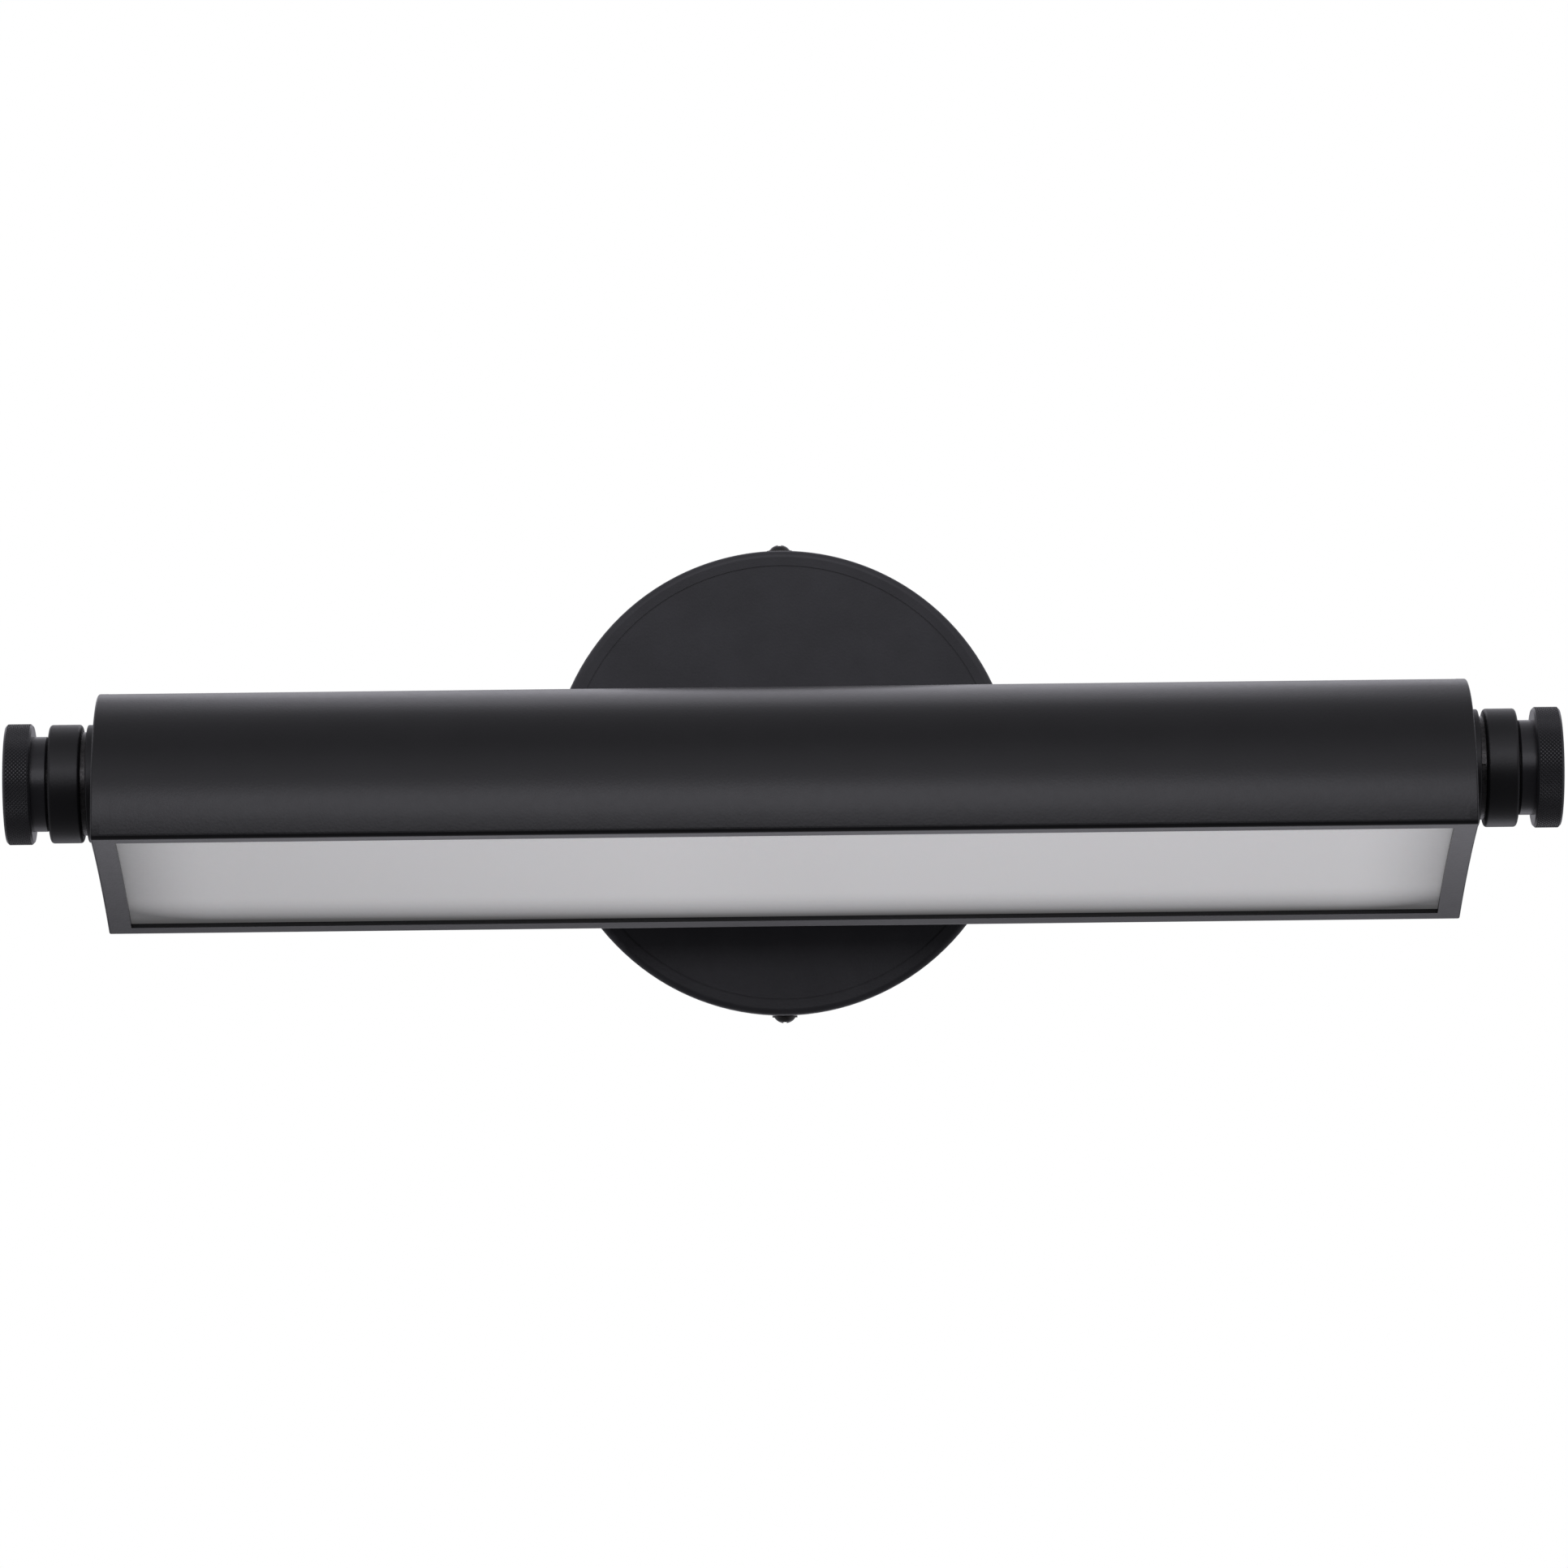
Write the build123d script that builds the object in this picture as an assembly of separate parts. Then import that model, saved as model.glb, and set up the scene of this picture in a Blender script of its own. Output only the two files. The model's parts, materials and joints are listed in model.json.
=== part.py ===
from build123d import *
from math import atan2, cos, degrees, radians, sin, sqrt
import os

# Picture light: a round wall canopy carries a flat bar and two arms, and a D-section
# LED head swings between the arms on hollow trunnions that two knurled knobs clamp.
#
# Frame: millimetres, +Z up, +X along the lamp, the wall is the plane Y = 0 and the
# lamp stands out of it towards -Y. The origin is the centre of the canopy's back.

os.makedirs("parts", exist_ok=True)

# ---------------------------------------------------------------- driving dimensions

# Wall canopy
CANOPY_RADIUS = 63.5
CANOPY_DEPTH = 19.0
CANOPY_WALL = 1.2
CANOPY_SHOULDER = 1.8
GROOVE_RADIUS = 59.2
GROOVE_WIDTH = 0.4
GROOVE_DEPTH = 0.25

# Strap that is screwed to the junction box, and its bent ears
STRAP_WIDTH = 25.0
STRAP_THICKNESS = 2.0
STRAP_CENTRE_HOLE_RADIUS = 5.2
EAR_WIDTH = 12.0
EAR_REACH = 12.5
EAR_TOP = 61.9
BOX_SCREW_SPACING = 88.9
BOX_SLOT_LENGTH = 12.0
BOX_SLOT_WIDTH = 4.8
GROUND_SCREW_Z = -17.0
SIDE_SCREW_SETBACK = 7.5

# Head, in its own frame: the tilt axis is the X axis and the lit face looks down
TILT_AXIS_REACH = 75.0
FACE_TILT = 20.0
HEAD_LENGTH = 363.2
HEAD_ARC_RADIUS = 38.0
HEAD_ARC_DROP = 15.3
FACE_DROP = 29.75
FACE_HOLLOW = 1.35
EDGE_ROUND = 1.2
END_ROUND = 0.5
SHELL_WALL = 1.6
END_CAP_THICKNESS = 2.5

# End-cap screw bosses, as angles round the head's back from its rear edge
BOSS_ANGLES = (45.0, 135.0, 190.0, 350.0)
BOSS_RADIUS = 2.8
BOSS_INSET = 2.2

# Lit face
FRAME_THICKNESS = 1.25
FRONT_STRIP = 3.9
REAR_STRIP = 4.2
SIDE_STRIP = 6.2
DIFFUSER_THICKNESS = 2.0
DIFFUSER_HALF_WIDTH = 33.5

# Light engine inside the head
TRAY_TOP = -11.0
TRAY_THICKNESS = 1.5
TRAY_HALF_WIDTH = 35.2
TRAY_LEG_OUTSIDE = 30.2
TRAY_LEG_HEIGHT = 16.0
TRAY_SCREW_Y = 33.3
TRAY_SCREW_X = (-150.0, 0.0, 150.0)
RIB_HEIGHT = 4.0
RIB_INSIDE = 31.5
BOARD_HALF_LENGTH = 168.0
BOARD_HALF_WIDTH = 10.0
BOARD_THICKNESS = 1.6
BOARD_SCREW_X = (-132.0, -72.0, 0.0, 72.0, 132.0)
BOARD_FEED_X = -138.0
CHIP_COUNT = 28
CHIP_PITCH = 12.0
CHIP_SIZE = (3.5, 2.8, 0.8)
REFLECTOR_THICKNESS = 0.8

# Swivel ends, from the head outwards
FLANGE_RADIUS = 15.7
FLANGE_THICKNESS = 3.4
WASHER_GAP = 1.4
WASHER_RADIUS = 13.8
TAB_REACH = 15.3
TAB_WIDTH = 2.5
TAB_ANGLE = 7.0
COLLAR_RADIUS = 15.8
COLLAR_LENGTH = 8.7
COLLAR_ROUND = 0.9
NECK_RADIUS = 12.65
NECK_LENGTH = 4.05
KNOB_RADIUS = 16.1
KNOB_LENGTH = 7.2
KNOB_CHAMFER = 0.6
KNOB_FACE_RIM = 4.0
KNOB_FACE_RECESS = 0.4
KNOB_WASHER_RADIUS = 11.0
KNOB_WASHER_THICKNESS = 0.35
TRUNNION_RADIUS = 5.0
TRUNNION_BORE_RADIUS = 3.3
TRUNNION_NUT_RADIUS = 8.1
TRUNNION_NUT_THICKNESS = 4.0
BUSH_RADIUS = 6.5
TILT_HALF_RANGE = 90.0

# Fits: faces that turn on each other, round running fits and threads
FACE_GAP = 0.05
RUNNING_GAP = 0.05
THREAD_GAP = 0.03

# Support behind the head
BAR_HEIGHT = 20.0
BAR_DEPTH = 8.0
BAR_WALL = 1.2
BAR_CORNER = 1.5
BAR_SCREW_X = 25.0
NUT_SLEEVE_RADIUS = 3.0
NUT_BULGE_RADIUS = 4.0
NUT_BULGE_LENGTH = 3.5
PLUG_LENGTH = 8.0
ARM_SCREW_Z = 5.5
ARM_CORNER = 5.0

# Electrics in the canopy
PAD_THICKNESS = 1.0
PAD_HALF_SIZE = (9.0, 7.0)
DRIVER_SIZE = (70.0, 12.0, 26.0)
DRIVER_BOTTOM = 18.0
TERMINAL_SIZE = (24.0, 11.0, 17.0)
TERMINAL_BOTTOM = -44.0
TERMINAL_POLES = (-8.0, 0.0, 8.0)
TERMINAL_WIRE_DEPTH = 6.0
TERMINAL_SCREW_DEPTH = 3.5
TERMINAL_SCREW_RADIUS = 1.55
MAINS_WIRE_RADIUS = 0.95
WIRE_DEPTH = -10.5

# Low-voltage lead and what guides it
LEAD_RADIUS = 1.2
LEAD_CHANNEL_RADIUS = 2.2
SLEEVE_RADIUS = 2.3
SLEEVE_BORE_RADIUS = 1.9
SLEEVE_TIP = 3.6                # its inner end, from the tilt axis
WIRE_HOLE_X = -46.0
BAR_HOLE_RADIUS = 2.4
GROMMET_WAIST_RADIUS = 3.0
GROMMET_FLANGE_RADIUS = 4.6
GROMMET_FLANGE_THICKNESS = 1.0
CONNECTOR_LENGTH = 14.0
CONNECTOR_HALF_WIDTH = 6.0
CONNECTOR_TOP = 6.0
LEAD_INSERTION = 5.0

# Screws: shank radius, head radius and head height
M2_RADIUS = 1.0
M2_HEAD = (1.9, 1.2)
M3_RADIUS = 1.5
M3_HEAD = (2.9, 1.6)
M3_LOW_HEAD = (2.0, 1.2)
M3_FLUSH_HEAD = (3.0, 1.7)
M3_CLEARANCE_RADIUS = 1.7
M3_WASHER_RADIUS = 3.45
M3_WASHER_THICKNESS = 0.55
M4_RADIUS = 2.0
M4_HEAD = (4.0, 2.4)
M4_CLEARANCE_RADIUS = 2.2
CAP_SCREW_RADIUS = 1.25
CAP_FLUSH_HEAD = (2.5, 1.5)

# ---------------------------------------------------------------- derived places

HALF_LENGTH = HEAD_LENGTH / 2
SHELL_END = HALF_LENGTH - END_CAP_THICKNESS
FLANGE_END = HALF_LENGTH + FLANGE_THICKNESS
COLLAR_START = FLANGE_END + WASHER_GAP
COLLAR_END = COLLAR_START + COLLAR_LENGTH
COLLAR_MIDDLE = (COLLAR_START + COLLAR_END) / 2
KNOB_WASHER_START = COLLAR_END + FACE_GAP
NECK_START = KNOB_WASHER_START + KNOB_WASHER_THICKNESS + FACE_GAP
NECK_END = NECK_START + NECK_LENGTH
KNOB_END = NECK_END + KNOB_LENGTH
TRUNNION_INNER_END = SHELL_END - 9.5
TRUNNION_OUTER_END = KNOB_END - 4.0

FACE_HALF_WIDTH = sqrt(HEAD_ARC_RADIUS**2 - (FACE_DROP - HEAD_ARC_DROP) ** 2)
HOLLOW_RADIUS = (FACE_HALF_WIDTH**2 + FACE_HOLLOW**2) / (2 * FACE_HOLLOW)
HOLLOW_CENTRE = FACE_HOLLOW - FACE_DROP - HOLLOW_RADIUS
FRAME_TOP_RADIUS = HOLLOW_RADIUS + FRAME_THICKNESS
DIFFUSER_TOP_RADIUS = FRAME_TOP_RADIUS + DIFFUSER_THICKNESS
SHELL_INNER_RADIUS = HEAD_ARC_RADIUS - SHELL_WALL

CANOPY_INSIDE = CANOPY_WALL - CANOPY_DEPTH
PAD_BACK = CANOPY_INSIDE + PAD_THICKNESS
DRIVER_TOP = DRIVER_BOTTOM + DRIVER_SIZE[2]
TERMINAL_TOP = TERMINAL_BOTTOM + TERMINAL_SIZE[2]
TERMINAL_BACK = PAD_BACK + TERMINAL_SIZE[1]
TERMINAL_SCREW_ROWS = (TERMINAL_BOTTOM + 4.0, TERMINAL_TOP - 4.0)

BAR_BACK = -CANOPY_DEPTH
BAR_FRONT = BAR_BACK - BAR_DEPTH
BAR_MIDDLE = (BAR_BACK + BAR_FRONT) / 2
BOARD_TOP = TRAY_TOP - TRAY_THICKNESS
BOARD_BOTTOM = BOARD_TOP - BOARD_THICKNESS
CONNECTOR_START = 2.0 - TRUNNION_INNER_END
CONNECTOR_END = CONNECTOR_START + CONNECTOR_LENGTH
LEAD_JOINT_X = CONNECTOR_START + LEAD_INSERTION

# Moves a piece from the head's own frame to its place in the lamp.
HEAD_PLACE = Pos(0, -TILT_AXIS_REACH, 0) * Rot(-FACE_TILT, 0, 0)
# Moves a piece from the tilt axis to its place, without the face's tilt.
AXIS_PLACE = Pos(0, -TILT_AXIS_REACH, 0)

nodes = {}


# ---------------------------------------------------------------- shape helpers

def rod_x(radius, x_from, x_to, y=0, z=0):
    """Cylinder along X between two stations."""
    return Pos((x_from + x_to) / 2, y, z) * Rot(0, 90, 0) * Cylinder(radius, abs(x_to - x_from))


def rod_y(radius, y_from, y_to, x=0, z=0):
    """Cylinder along Y between two stations."""
    return Pos(x, (y_from + y_to) / 2, z) * Rot(90, 0, 0) * Cylinder(radius, abs(y_to - y_from))


def rod_z(radius, z_from, z_to, x=0, y=0):
    """Cylinder along Z between two stations."""
    return Pos(x, y, (z_from + z_to) / 2) * Cylinder(radius, abs(z_to - z_from))


def block(low, high):
    """Box between its lowest and highest corners."""
    size = Vector(*high) - Vector(*low)
    middle = (Vector(*high) + Vector(*low)) * 0.5
    return Pos(middle.X, middle.Y, middle.Z) * Box(size.X, size.Y, size.Z)


def along_x(profile, x_from, x_to):
    """Extrudes a Y-Z profile between two stations on X."""
    return extrude(Plane.YZ.offset(x_from) * profile, x_to - x_from)


def mirrored(shape, side):
    """Returns the +X piece for side 1 and its mirror image for side -1."""
    return shape if side > 0 else mirror(shape, about=Plane.YZ)


def group(pieces):
    """Separate solids that share one node."""
    return Compound(children=[solid for piece in pieces for solid in piece.solids()])


def round_lead(points, bend_radius):
    """Round lead along straight runs joined by tangent arcs."""
    path = FilletPolyline(*points, radius=bend_radius)
    section = Plane(path @ 0, z_dir=path % 0) * Circle(LEAD_RADIUS)
    return sweep(section, path=path)


def phillips_recess(size, depth):
    """Cross-shaped cutter that opens upwards from z = 0 downwards."""
    arm = 0.3 * size
    bar = Box(size, arm, 2 * depth)
    return bar + Rot(0, 0, 90) * bar


def pan_screw(radius, shank_length, head_size):
    """Pan-head screw along Z: the head sits on z = 0 and the shank points down."""
    head_radius, head_height = head_size
    head = Pos(0, 0, head_height / 2) * Cylinder(head_radius, head_height)
    head = fillet(head.edges().filter_by(GeomType.CIRCLE).group_by(Axis.Z)[-1], 0.75 * head_height)
    shank = rod_z(radius, -shank_length, 0)
    return head + shank - Pos(0, 0, head_height) * phillips_recess(1.1 * head_radius, 0.6 * head_height)


def dome_screw(radius, shank_length, head_size):
    """Round-head screw along Z: a low dome on z = 0 with the shank pointing down."""
    head_radius, head_height = head_size
    ball_radius = (head_radius ** 2 + head_height ** 2) / (2 * head_height)
    head = Pos(0, 0, head_height - ball_radius) * Sphere(ball_radius)
    head &= Pos(0, 0, head_height / 2) * Box(4 * head_radius, 4 * head_radius, head_height)
    shank = rod_z(radius, -shank_length, 0)
    return head + shank - Pos(0, 0, head_height) * phillips_recess(head_radius, 0.6 * head_height)


def flush_screw(radius, total_length, head_size):
    """Countersunk screw along Z: its flat top is at z = 0 and it points down."""
    head_radius, head_height = head_size
    head = Pos(0, 0, -head_height / 2) * Cone(radius, head_radius, head_height)
    shank = rod_z(radius, -total_length, -head_height)
    return head + shank - phillips_recess(1.1 * head_radius, 0.6 * head_height)


# Turns a screw made along Z so that its head looks along the named direction.
HEAD_TO_MINUS_Y = Rot(90, 0, 0)
HEAD_TO_PLUS_Y = Rot(-90, 0, 0)
HEAD_TO_PLUS_X = Rot(0, 90, 0)
HEAD_TO_MINUS_Z = Rot(180, 0, 0)


# ---------------------------------------------------------------- wall canopy

def make_canopy():
    """Spun cup with a rounded shoulder and a fine groove round its flat front."""
    cup = rod_y(CANOPY_RADIUS, -CANOPY_DEPTH, 0)
    cup = fillet(cup.edges().filter_by(GeomType.CIRCLE).group_by(Axis.Y)[0], CANOPY_SHOULDER)
    hollow = rod_y(CANOPY_RADIUS - CANOPY_WALL, CANOPY_INSIDE, 1)
    hollow = fillet(hollow.edges().filter_by(GeomType.CIRCLE).group_by(Axis.Y)[0],
                    CANOPY_SHOULDER - CANOPY_WALL)
    groove = rod_y(GROOVE_RADIUS + GROOVE_WIDTH / 2, -CANOPY_DEPTH - 1, GROOVE_DEPTH - CANOPY_DEPTH)
    groove -= rod_y(GROOVE_RADIUS - GROOVE_WIDTH / 2, -CANOPY_DEPTH - 1, GROOVE_DEPTH - CANOPY_DEPTH)
    cup = cup - hollow - groove
    for x in (-BAR_SCREW_X, BAR_SCREW_X):
        cup -= rod_y(M4_CLEARANCE_RADIUS, -CANOPY_DEPTH - 1, 0, x=x)
    cup -= rod_y(GROMMET_WAIST_RADIUS, -CANOPY_DEPTH - 1, 0, x=WIRE_HOLE_X)
    cup -= rod_z(M3_CLEARANCE_RADIUS, -CANOPY_RADIUS - 1, CANOPY_RADIUS + 1, y=-SIDE_SCREW_SETBACK)
    return cup


def make_mounting_strap():
    """Flat steel strap with two slots and a bent, tapped ear at each end."""
    strap = block((-STRAP_WIDTH / 2, -STRAP_THICKNESS, -EAR_TOP), (STRAP_WIDTH / 2, 0, EAR_TOP))
    corner_cut = (STRAP_WIDTH - EAR_WIDTH) / 2
    for x_side in (-1, 1):
        for z_side in (-1, 1):
            corner = Pos(x_side * STRAP_WIDTH / 2, -STRAP_THICKNESS / 2, z_side * EAR_TOP)
            strap -= corner * Box(2 * corner_cut, 2 * STRAP_THICKNESS, 2 * corner_cut)
    for z_side in (-1, 1):
        ear = block((-EAR_WIDTH / 2, -EAR_REACH, EAR_TOP - STRAP_THICKNESS), (EAR_WIDTH / 2, 0, EAR_TOP))
        strap += ear if z_side > 0 else mirror(ear, about=Plane.XY)
        slot = SlotOverall(BOX_SLOT_LENGTH, BOX_SLOT_WIDTH, rotation=90)
        centre = Plane.XZ * Pos(0, z_side * BOX_SCREW_SPACING / 2) * slot
        strap -= extrude(centre, STRAP_THICKNESS + 1, both=True)
    strap -= rod_y(STRAP_CENTRE_HOLE_RADIUS, -STRAP_THICKNESS - 1, 1)
    strap -= rod_y(M4_RADIUS + THREAD_GAP, -STRAP_THICKNESS - 1, 1, z=GROUND_SCREW_Z)
    strap -= rod_z(M3_RADIUS + THREAD_GAP, -EAR_TOP - 1, EAR_TOP + 1, y=-SIDE_SCREW_SETBACK)
    return strap


def make_side_screws():
    """The two round-head screws through the canopy's rim, top and bottom."""
    screw = dome_screw(M3_RADIUS, 7.0, M3_HEAD)
    top = Pos(0, -SIDE_SCREW_SETBACK, CANOPY_RADIUS + M3_WASHER_THICKNESS) * screw
    return group([top, mirror(top, about=Plane.XY)])


def make_side_washers():
    """The plain washers under the side screws."""
    height = CANOPY_RADIUS + M3_WASHER_THICKNESS
    top = rod_z(M3_WASHER_RADIUS, CANOPY_RADIUS, height, y=-SIDE_SCREW_SETBACK)
    top -= rod_z(M3_RADIUS + THREAD_GAP, CANOPY_RADIUS - 1, height + 1, y=-SIDE_SCREW_SETBACK)
    return group([top, mirror(top, about=Plane.XY)])


def make_ground_screw():
    """Hexagon-head earth screw in the strap."""
    head_height = 2.8
    head = extrude(RegularPolygon(4.0, 6), head_height)
    screw = head + rod_z(M4_RADIUS, -STRAP_THICKNESS, 0)
    screw -= Pos(0, 0, head_height) * phillips_recess(4.0, 1.2)
    return Pos(0, -STRAP_THICKNESS, GROUND_SCREW_Z) * HEAD_TO_MINUS_Y * screw


# ---------------------------------------------------------------- electrics in the canopy


def make_led_driver():
    """Potted driver case with rounded corners and a shallow groove near each end."""
    length, depth, height = DRIVER_SIZE
    middle_z = DRIVER_BOTTOM + height / 2
    case = Pos(0, PAD_BACK + depth / 2, middle_z) * Box(length, depth, height)
    case = fillet(case.edges().filter_by(Axis.Y), 2.0)
    for x_side in (-1, 1):
        groove = Box(2.0, 1.6, height + 2)
        case -= Pos(x_side * (length / 2 - 3), PAD_BACK + depth, middle_z) * groove
    return case


def make_adhesive_pads():
    """Three equal foam pads that hold the driver and the terminal block."""
    half_x, half_z = PAD_HALF_SIZE
    driver_z = (DRIVER_BOTTOM + DRIVER_TOP) / 2
    centres = ((-20.0, driver_z), (20.0, driver_z), (0.0, (TERMINAL_BOTTOM + TERMINAL_TOP) / 2))
    pads = []
    for x, z in centres:
        pads.append(block((x - half_x, CANOPY_INSIDE, z - half_z), (x + half_x, PAD_BACK, z + half_z)))
    return group(pads)


def make_terminal_block():
    """Three-pole terminal block with a wire hole at each end of each pole."""
    half_width = TERMINAL_SIZE[0] / 2
    low_mouth = TERMINAL_BOTTOM + TERMINAL_WIRE_DEPTH
    high_mouth = TERMINAL_TOP - TERMINAL_WIRE_DEPTH
    screw_floor = TERMINAL_BACK - TERMINAL_SCREW_DEPTH
    body = block((-half_width, PAD_BACK, TERMINAL_BOTTOM), (half_width, TERMINAL_BACK, TERMINAL_TOP))
    for x in TERMINAL_POLES:
        body -= rod_z(MAINS_WIRE_RADIUS + 0.35, TERMINAL_BOTTOM - 1, low_mouth, x=x, y=WIRE_DEPTH)
        body -= rod_z(MAINS_WIRE_RADIUS, high_mouth, TERMINAL_TOP + 1, x=x, y=WIRE_DEPTH)
        for z in TERMINAL_SCREW_ROWS:
            body -= rod_y(TERMINAL_SCREW_RADIUS + 0.05, screw_floor, TERMINAL_BACK + 1, x=x, z=z)
    return body


def make_terminal_screws():
    """Slotted clamping screws, sunk in the terminal block."""
    top = TERMINAL_BACK - 0.8
    floor = TERMINAL_BACK - TERMINAL_SCREW_DEPTH
    screws = []
    for x in TERMINAL_POLES:
        for z in TERMINAL_SCREW_ROWS:
            screw = rod_y(TERMINAL_SCREW_RADIUS, floor, top, x=x, z=z)
            slot = Box(4 * TERMINAL_SCREW_RADIUS, 1.2, 0.5)
            screws.append(screw - Pos(x, top, z) * slot)
    return group(screws)


def make_driver_input_wires():
    """Live and neutral from the terminal block up to the driver."""
    wires = []
    for x in (TERMINAL_POLES[0], TERMINAL_POLES[2]):
        inner_end = TERMINAL_TOP - TERMINAL_WIRE_DEPTH
        wires.append(rod_z(MAINS_WIRE_RADIUS, inner_end, DRIVER_BOTTOM, x=x, y=WIRE_DEPTH))
    return group(wires)


def make_wire_grommet():
    """Rubber grommet in the canopy's wire hole."""
    flange_back = CANOPY_INSIDE + GROMMET_FLANGE_THICKNESS
    waist = rod_y(GROMMET_WAIST_RADIUS, BAR_BACK, CANOPY_INSIDE, x=WIRE_HOLE_X)
    flange = rod_y(GROMMET_FLANGE_RADIUS, CANOPY_INSIDE, flange_back, x=WIRE_HOLE_X)
    bore = rod_y(LEAD_RADIUS + 0.05, BAR_BACK - 1, 0, x=WIRE_HOLE_X)
    return waist + flange - bore


# ---------------------------------------------------------------- support

def make_back_bar():
    """Rectangular tube behind the head, open at both ends."""
    outside = RectangleRounded(BAR_DEPTH, BAR_HEIGHT, BAR_CORNER)
    inside = RectangleRounded(BAR_DEPTH - 2 * BAR_WALL, BAR_HEIGHT - 2 * BAR_WALL, 0.5)
    bar = Pos(0, BAR_MIDDLE, 0) * along_x(outside - inside, -COLLAR_START, COLLAR_START)
    for x in (-BAR_SCREW_X, BAR_SCREW_X):
        bar -= rod_y(NUT_SLEEVE_RADIUS, BAR_BACK - 2 * BAR_WALL, BAR_BACK + 1, x=x)
    return bar - rod_y(BAR_HOLE_RADIUS, BAR_BACK - 2 * BAR_WALL, BAR_BACK + 1, x=WIRE_HOLE_X)


def make_bar_nuts():
    """Rivet nuts in the bar's back wall, open towards the canopy."""
    nuts = []
    for x in (-BAR_SCREW_X, BAR_SCREW_X):
        wall_inside = BAR_BACK - BAR_WALL
        nut = rod_y(NUT_SLEEVE_RADIUS, wall_inside, BAR_BACK, x=x)
        nut += rod_y(NUT_BULGE_RADIUS, wall_inside - NUT_BULGE_LENGTH, wall_inside, x=x)
        nuts.append(nut - rod_y(M4_RADIUS + THREAD_GAP, BAR_FRONT, BAR_BACK + 1, x=x))
    return group(nuts)


def make_bar_screws():
    """Pan-head screws from inside the canopy into the bar's rivet nuts."""
    screw = HEAD_TO_PLUS_Y * pan_screw(M4_RADIUS, 5.5, M4_HEAD)
    return group([Pos(x, CANOPY_INSIDE, 0) * screw for x in (-BAR_SCREW_X, BAR_SCREW_X)])


def make_bar_plug(side):
    """Tapped block in the bar's end. The left one also passes the lead."""
    profile = RectangleRounded(BAR_DEPTH - 2 * BAR_WALL, BAR_HEIGHT - 2 * BAR_WALL, 0.5)
    plug = Pos(0, BAR_MIDDLE, 0) * along_x(profile, COLLAR_START - PLUG_LENGTH, COLLAR_START)
    for z in (-ARM_SCREW_Z, ARM_SCREW_Z):
        plug -= rod_x(M3_RADIUS + THREAD_GAP, 0, COLLAR_START + 1, y=BAR_MIDDLE, z=z)
    if side < 0:
        plug -= rod_x(SLEEVE_BORE_RADIUS, 0, COLLAR_START + 1, y=BAR_MIDDLE)
    return mirrored(plug, side)


def make_arm(side):
    """Flat arm from the bar's end to the back of the collar, hollow on the left."""
    half = BAR_HEIGHT / 2
    arm = block((COLLAR_START, -TILT_AXIS_REACH, -half), (COLLAR_END, BAR_BACK, half))
    arm = fillet(arm.edges().filter_by(Axis.Z).group_by(Axis.Y)[-1].sort_by(Axis.X)[-1], ARM_CORNER)
    arm = chamfer(arm.edges().filter_by(Axis.Y), 0.8)
    arm -= rod_x(COLLAR_RADIUS, 0, COLLAR_END + 1, y=-TILT_AXIS_REACH)
    for z in (-ARM_SCREW_Z, ARM_SCREW_Z):
        arm -= rod_x(M3_CLEARANCE_RADIUS, 0, COLLAR_END + 1, y=BAR_MIDDLE, z=z)
        sink_radius, sink_depth = M3_FLUSH_HEAD
        sink = HEAD_TO_PLUS_X * Cone(M3_RADIUS, sink_radius, sink_depth)
        arm -= Pos(COLLAR_END - sink_depth / 2, BAR_MIDDLE, z) * sink
    if side < 0:
        arm -= rod_x(LEAD_CHANNEL_RADIUS, 0, COLLAR_MIDDLE, y=BAR_MIDDLE)
        arm -= rod_y(LEAD_CHANNEL_RADIUS, -TILT_AXIS_REACH, BAR_MIDDLE + LEAD_CHANNEL_RADIUS, x=COLLAR_MIDDLE)
    return mirrored(arm, side)


def make_arm_screws():
    """Countersunk screws through the arms into the bar's plugs, two each side."""
    screw = HEAD_TO_PLUS_X * flush_screw(M3_RADIUS, 14.0, M3_FLUSH_HEAD)
    screws = []
    for side in (-1, 1):
        for z in (-ARM_SCREW_Z, ARM_SCREW_Z):
            screws.append(mirrored(Pos(COLLAR_END, BAR_MIDDLE, z) * screw, side))
    return group(screws)


def make_collar(side):
    """Round collar on the arm's end, bored for the bush."""
    collar = rod_x(COLLAR_RADIUS, COLLAR_START, COLLAR_END)
    collar = fillet(collar.edges().filter_by(GeomType.CIRCLE), COLLAR_ROUND)
    collar -= rod_x(BUSH_RADIUS, COLLAR_START - 1, COLLAR_END + 1)
    if side < 0:
        collar -= rod_y(SLEEVE_RADIUS, 0, COLLAR_RADIUS + 1, x=COLLAR_MIDDLE)
    return AXIS_PLACE * mirrored(collar, side)


def make_bush(side):
    """Plain bearing bush that the trunnion turns in."""
    bush = rod_x(BUSH_RADIUS, COLLAR_START, COLLAR_END)
    bush -= rod_x(TRUNNION_RADIUS + RUNNING_GAP, COLLAR_START - 1, COLLAR_END + 1)
    if side < 0:
        bush -= rod_y(SLEEVE_RADIUS, 0, COLLAR_RADIUS, x=COLLAR_MIDDLE)
    return AXIS_PLACE * mirrored(bush, side)


def make_lead_sleeve():
    """Tube that carries the lead into the left trunnion and stops its slot."""
    sleeve = rod_y(SLEEVE_RADIUS, SLEEVE_TIP, COLLAR_RADIUS - 0.5, x=-COLLAR_MIDDLE)
    sleeve -= rod_y(SLEEVE_BORE_RADIUS, 0, COLLAR_RADIUS + 1, x=-COLLAR_MIDDLE)
    return AXIS_PLACE * sleeve


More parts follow.
